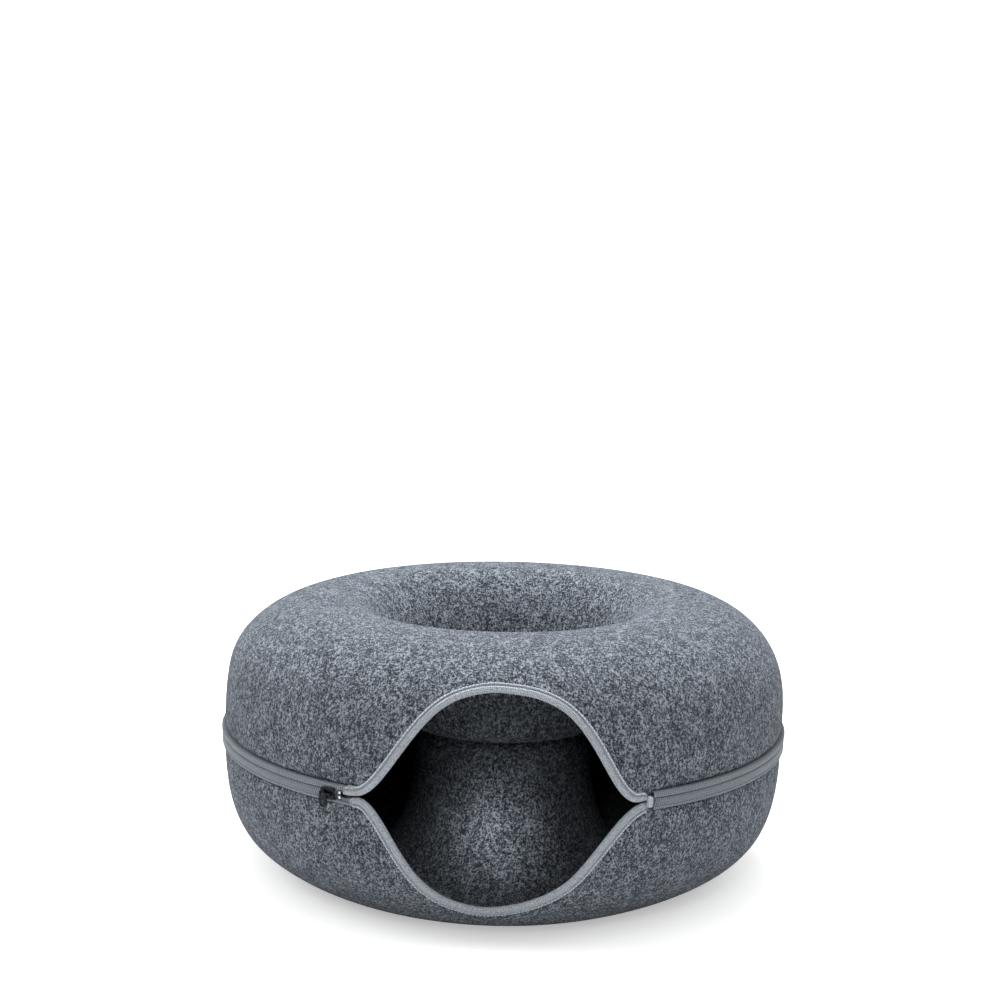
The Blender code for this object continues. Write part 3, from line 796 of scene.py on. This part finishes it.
# %% Grey felt
FELT_DARK = (0.010, 0.012, 0.015)
FELT_MIDDLE = (0.054, 0.063, 0.075)
FELT_LIGHT = (0.215, 0.238, 0.270)
FELT_DRAWN_UP = (1.03, 1.03, 0.70)
CLUMPS = ({"scale": 260.0, "share": 0.14}, {"scale": 90.0, "share": 0.12})
STRANDS = ({"scale": (520.0, 330.0, 420.0), "turn": (0.4, 1.1, 0.2)},
           {"scale": (380.0, 560.0, 300.0), "turn": (1.0, 0.3, 0.8)})
STRAND_SHARE = 0.19
HAIR_LAYERS = (
    {"scale": (960.0, 300.0, 560.0), "turn": (0.3, 0.7, 0.5), "share": 1.0},
    {"scale": (330.0, 930.0, 480.0), "turn": (0.9, 0.2, 1.3), "share": 0.5},
    {"scale": (470.0, 352.0, 960.0), "turn": (1.2, 0.5, 0.2), "share": 0.34},
)
HAIR_STOPS = [(0.37, 0.0), (0.65, 1.0)]
CLUMP_STOPS = [(0.32, 0.0), (0.68, 1.0)]
STRAND_STOPS = [(0.47, 0.0), (0.50, 1.0), (0.53, 0.0)]
FELT_STOPS = [(0.28, FELT_DARK), (0.48, FELT_MIDDLE), (0.70, FELT_LIGHT)]


def grey_felt():
    """Heathered blue-grey needled felt."""
    material, shader, node, join = new_finish("grey_felt_fibres")
    drawn_up = node("ShaderNodeMapping")
    drawn_up.inputs["Scale"].default_value = FELT_DRAWN_UP
    join(node("ShaderNodeTexCoord").outputs["Object"], drawn_up.inputs["Vector"])
    place_of = drawn_up.outputs[0]
    crossed = None
    for layer in HAIR_LAYERS:
        hair = stretched_noise(node, join, place_of, layer["scale"], layer["turn"],
                               Detail=1.5, Roughness=0.55, Distortion=0.9)
        sharp = ramp(node, join, hair, HAIR_STOPS)
        crossed = sharp if crossed is None else blend_of(node, join, "MIX", layer["share"], crossed, sharp)
    for clump in CLUMPS:
        cloud = node("ShaderNodeTexNoise", Scale=clump["scale"], Detail=3.0, Roughness=0.6)
        join(place_of, cloud.inputs["Vector"])
        clumped = ramp(node, join, cloud.outputs["Fac"], CLUMP_STOPS)
        crossed = blend_of(node, join, "MIX", clump["share"], crossed, clumped)
    strands = []
    for strand in STRANDS:
        bend = stretched_noise(node, join, place_of, strand["scale"], strand["turn"],
                               Detail=0.0, Distortion=0.5)
        strands.append(ramp(node, join, bend, STRAND_STOPS))
    value = blend_of(node, join, "ADD", STRAND_SHARE, crossed, strands[0])
    value = blend_of(node, join, "SUBTRACT", STRAND_SHARE, value, strands[1])
    join(ramp(node, join, value, FELT_STOPS), shader.inputs["Base Color"])
    shader.inputs["Roughness"].default_value = 0.95
    shader.inputs["Sheen Weight"].default_value = 0.10
    shader.inputs["Sheen Roughness"].default_value = 0.50
    shader.inputs["Sheen Tint"].default_value = (0.80, 0.88, 1.0, 1.0)
    shader.inputs["Specular IOR Level"].default_value = 0.10
    bump = node("ShaderNodeBump", Strength=0.75, Distance=0.0010)
    join(value, bump.inputs["Height"])
    join(bump.outputs["Normal"], shader.inputs["Normal"])
    return material


# %% Woven tapes and thread
WAVE_REPEAT = 0.314159
SLUB_SCALE = (420.0, 1300.0, 1.0)


def woven(name, dark, light, rib, row, row_share, slub_share, roughness):
    """Tape woven in fine ribs across its length, on a UV map in metres.

    A wave texture of scale 1 repeats every 0.314 m, so rib and row give its scale.
    """
    material, shader, node, join = new_finish(name)
    uv = node("ShaderNodeTexCoord").outputs["UV"]
    bands = []
    for way, repeat in (("X", rib), ("Y", row)):
        wave = node("ShaderNodeTexWave", wave_type="BANDS", bands_direction=way,
                    Scale=WAVE_REPEAT / repeat, Distortion=0.5, Detail=1.0)
        wave.inputs["Detail Scale"].default_value = 2.0
        join(uv, wave.inputs["Vector"])
        bands.append(wave.outputs["Color"])
    threads = blend_of(node, join, "MIX", row_share, bands[0], bands[1])
    slubs = stretched_noise(node, join, uv, SLUB_SCALE, (0.0, 0.0, 0.0), Detail=3.0, Roughness=0.6)
    uneven = ramp(node, join, slubs, [(0.34, 0.0), (0.66, 1.0)])
    value = blend_of(node, join, "MIX", slub_share, threads, uneven)
    join(ramp(node, join, value, [(0.22, dark), (0.78, light)]), shader.inputs["Base Color"])
    shader.inputs["Roughness"].default_value = roughness
    shader.inputs["Sheen Weight"].default_value = 0.12
    shader.inputs["Sheen Roughness"].default_value = 0.4
    shader.inputs["Specular IOR Level"].default_value = 0.25
    bump = node("ShaderNodeBump", Strength=0.80, Distance=0.00040)
    join(value, bump.inputs["Height"])
    join(bump.outputs["Normal"], shader.inputs["Normal"])
    return material


def plain_thread(name, colour, roughness):
    """Thread, wire or a folded tape's end, with a little unevenness."""
    material, shader, node, join = new_finish(name)
    place_of = node("ShaderNodeTexCoord").outputs["Object"]
    noise = node("ShaderNodeTexNoise", Scale=1400.0, Detail=2.0)
    join(place_of, noise.inputs["Vector"])
    dark = tuple(channel * 0.72 for channel in colour)
    light = tuple(min(1.0, channel * 1.25) for channel in colour)
    join(ramp(node, join, noise.outputs["Fac"], [(0.35, dark), (0.65, light)]), shader.inputs["Base Color"])
    shader.inputs["Roughness"].default_value = roughness
    return material


def worn_metal(name, colour, roughness):
    """Plated metal: dull in places, with fine rubbing marks."""
    material, shader, node, join = new_finish(name)
    place_of = node("ShaderNodeTexCoord").outputs["Object"]
    rubbed = stretched_noise(node, join, place_of, (900.0, 300.0, 2200.0), (0.2, 0.4, 0.1),
                             Detail=4.0, Roughness=0.65)
    light = tuple(min(1.0, channel * 1.6 + 0.012) for channel in colour)
    join(ramp(node, join, rubbed, [(0.40, colour), (0.75, light)]), shader.inputs["Base Color"])
    join(ramp(node, join, rubbed, [(0.30, roughness * 0.7), (0.70, min(1.0, roughness * 1.5))]),
         shader.inputs["Roughness"])
    shader.inputs["Metallic"].default_value = 1.0
    return material


felt_finish = grey_felt()
edge_tape_finish = woven("edge_tape_weave", (0.085, 0.098, 0.115), (0.370, 0.400, 0.435),
                         rib=0.0015, row=0.0012, row_share=0.45, slub_share=0.50, roughness=0.75)
zip_tape_finish = woven("zip_tape_weave", (0.045, 0.054, 0.066), (0.190, 0.212, 0.240),
                        rib=0.0019, row=0.0014, row_share=0.38, slub_share=0.33, roughness=0.80)
edge_thread_finish = plain_thread("edge_thread", (0.430, 0.460, 0.500), 0.65)
coil_finish = plain_thread("coil_nylon", (0.120, 0.137, 0.158), 0.55)
tape_end_finish = plain_thread("folded_tape_end", (0.270, 0.297, 0.330), 0.75)
slider_finish = worn_metal("dark_slider_metal", (0.010, 0.011, 0.013), 0.36)
stop_finish = worn_metal("bright_stop_metal", (0.420, 0.432, 0.450), 0.30)
print("materials:", ", ".join(material.name for material in bpy.data.materials))

# %% [markdown]
# ## Dress the pieces
#
# Each new piece gets its finish and rides on the object's one body. All but the stitches stand for
# the node whose place they take. The slider, its pull, the stops and the folded end of the tape keep
# the shape that was packed, and only get a finish.

# %% Finishes and places


def dressed(piece, finish, nodes=()):
    """Give a piece its finish, put it on the object's body and hide the nodes that it stands for."""
    piece.data.materials.clear()
    piece.data.materials.append(finish)
    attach(piece, "root")
    if nodes:
        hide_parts(*nodes)
    print(piece.name, "is", finish.name, "and stands for", ", ".join(nodes) or "no node")


dressed(upper_felt, felt_finish, ["upper_shell"])
dressed(lower_felt, felt_finish, ["lower_shell"])
dressed(upper_edge_tape, edge_tape_finish, ["binding_upper"])
dressed(lower_edge_tape, edge_tape_finish, ["binding_lower"])
dressed(upper_zip_tape, zip_tape_finish, ["zip_tape_upper"])
dressed(lower_zip_tape, zip_tape_finish, ["zip_tape_lower"])
dressed(upper_edge_stitches, edge_thread_finish)
dressed(lower_edge_stitches, edge_thread_finish)
dressed(upper_coil, coil_finish, ["zip_coil"])
dressed(lower_coil, coil_finish, ["zip_coil"])
for name, finish in (("zip_slider", slider_finish), ("zip_pull", slider_finish),
                     ("zip_stop_upper", stop_finish), ("zip_stop_lower", stop_finish),
                     ("zip_end_tab", tape_end_finish)):
    node_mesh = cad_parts[name].data
    node_mesh.materials.clear()
    node_mesh.materials.append(finish)

# %% [markdown]
# ## What each cloth was cut from
#
# A moulded half comes from a round blank, which the mould stretches a little. The tapes are cut to
# length.

# %% [markdown]
# ## Floor, light and camera
#
# A wide pale floor, with a sky that is bright overhead and fades towards the horizon, so that little
# light runs level into the tunnel. A broad lamp hangs over the crown, three weak ones stand in front
# and at the sides, and a narrow beam makes the bright patch on the hump inside. To the camera alone the
# floor also glows a little, so that floor and backdrop both come out white. The camera stands where the
# photograph's did: a little above the cave, with the lens and the small tilt that its outline gives.

# %% Pale floor
FLOOR_GLOW = 0.44
FLOOR_SIZE = 24.0
FLOOR_PLACE = (0.0, 4.0, -0.0006)
bpy.ops.mesh.primitive_plane_add(size=FLOOR_SIZE, location=FLOOR_PLACE)
floor = bpy.context.object
floor.name = "floor"
floor_finish, floor_shader, node, join = new_finish("pale_floor")
floor_shader.inputs["Base Color"].default_value = (0.86, 0.86, 0.86, 1.0)
floor_shader.inputs["Roughness"].default_value = 0.9
floor_shader.inputs["Emission Color"].default_value = (1.0, 1.0, 1.0, 1.0)
for_camera = node("ShaderNodeLightPath")
glow = node("ShaderNodeMapRange")
glow.inputs["To Max"].default_value = FLOOR_GLOW
join(for_camera.outputs["Is Camera Ray"], glow.inputs["Value"])
join(glow.outputs["Result"], floor_shader.inputs["Emission Strength"])
floor.data.materials.append(floor_finish)
print("the floor lies %.4f m below the base" % -FLOOR_PLACE[2])

# %% A sky that is brighter above
SKY_ABOVE = 1.15
SKY_LEVEL = 0.02
BACKDROP = 1.05
sky = bpy.data.worlds.new("studio")
bpy.context.scene.world = sky
sky.use_nodes = True
sky_nodes, sky_links = sky.node_tree.nodes, sky.node_tree.links
heading = sky_nodes.new("ShaderNodeSeparateXYZ")
sky_links.new(sky_nodes.new("ShaderNodeTexCoord").outputs["Generated"], heading.inputs[0])
brighter_above = sky_nodes.new("ShaderNodeMapRange")
for socket, value in (("From Min", 0.20), ("From Max", 0.60), ("To Min", SKY_LEVEL), ("To Max", SKY_ABOVE)):
    brighter_above.inputs[socket].default_value = value
sky_links.new(heading.outputs["Z"], brighter_above.inputs["Value"])
seen = sky_nodes.new("ShaderNodeLightPath")
strength = sky_nodes.new("ShaderNodeMix")
strength.inputs[3].default_value = BACKDROP
sky_links.new(seen.outputs["Is Camera Ray"], strength.inputs[0])
sky_links.new(brighter_above.outputs["Result"], strength.inputs[2])
sky_links.new(strength.outputs[0], sky_nodes["Background"].inputs["Strength"])
sky_nodes["Background"].inputs["Color"].default_value = (1.0, 1.0, 1.0, 1.0)
print("sky: %.2f above, %.2f level" % (SKY_ABOVE, SKY_LEVEL))

# %% Lamps
SOFT_LAMPS = (
    {"name": "overhead_lamp", "size": 0.9, "at": (0.0, 0.16, 1.45), "aim": (0.0, 0.0, 0.2), "power": 37.0},
    {"name": "key_lamp", "size": 0.45, "at": (-0.10, -1.80, 1.06), "aim": (0.0, -0.1, 0.06), "power": 6.0},
    {"name": "left_lamp", "size": 1.0, "at": (-1.50, -0.40, 1.25), "aim": (0.0, 0.0, 0.1), "power": 8.5},
    {"name": "right_lamp", "size": 1.0, "at": (1.50, -0.40, 1.25), "aim": (0.0, 0.0, 0.1), "power": 2.5},
)
BEAM = {"name": "tunnel_beam", "at": (-0.06, -1.75, 0.90), "aim": (-0.0060, -0.095, 0.051),
        "power": 222.0, "spread": 2.9, "blur": 1.0, "source": 0.03}


def added_lamp(kind, row):
    """A lamp of one kind that stands, looks and shines as its row says."""
    bpy.ops.object.light_add(type=kind, location=row["at"])
    lamp = bpy.context.object
    lamp.name = row["name"]
    lamp.data.energy = row["power"]
    lamp.rotation_euler = (Vector(row["aim"]) - Vector(row["at"])).to_track_quat("-Z", "Y").to_euler()
    return lamp.data


for row in SOFT_LAMPS:
    disc = added_lamp("AREA", row)
    disc.shape = "DISK"
    disc.size = row["size"]
beam = added_lamp("SPOT", BEAM)
beam.spot_size = math.radians(BEAM["spread"])
beam.spot_blend = BEAM["blur"]
beam.shadow_soft_size = BEAM["source"]
print("lamps:", ", ".join(row["name"] for row in (*SOFT_LAMPS, BEAM)))

# %% The camera
CAMERA_PLACE = (0.0001, -1.7793, 0.6177)
CAMERA_LENS = 72.40
CAMERA_YAW = 0.188
CAMERA_PITCH = 9.122
CAMERA_ROLL = 0.825
bpy.ops.object.camera_add(location=CAMERA_PLACE)
camera = bpy.context.object
turn = (Matrix.Rotation(math.radians(CAMERA_YAW), 4, "Z")
        @ Matrix.Rotation(math.radians(90.0 - CAMERA_PITCH), 4, "X")
        @ Matrix.Rotation(math.radians(CAMERA_ROLL), 4, "Z"))
camera.matrix_world = Matrix.Translation(CAMERA_PLACE) @ turn
camera.data.lens = CAMERA_LENS
camera.data.clip_start = 0.05
bpy.context.scene.camera = camera
bpy.context.scene.view_settings.view_transform = "Standard"
print("the camera stands %.2f m in front of the ring's middle" % (RING_CENTRE_Y - CAMERA_PLACE[1]))
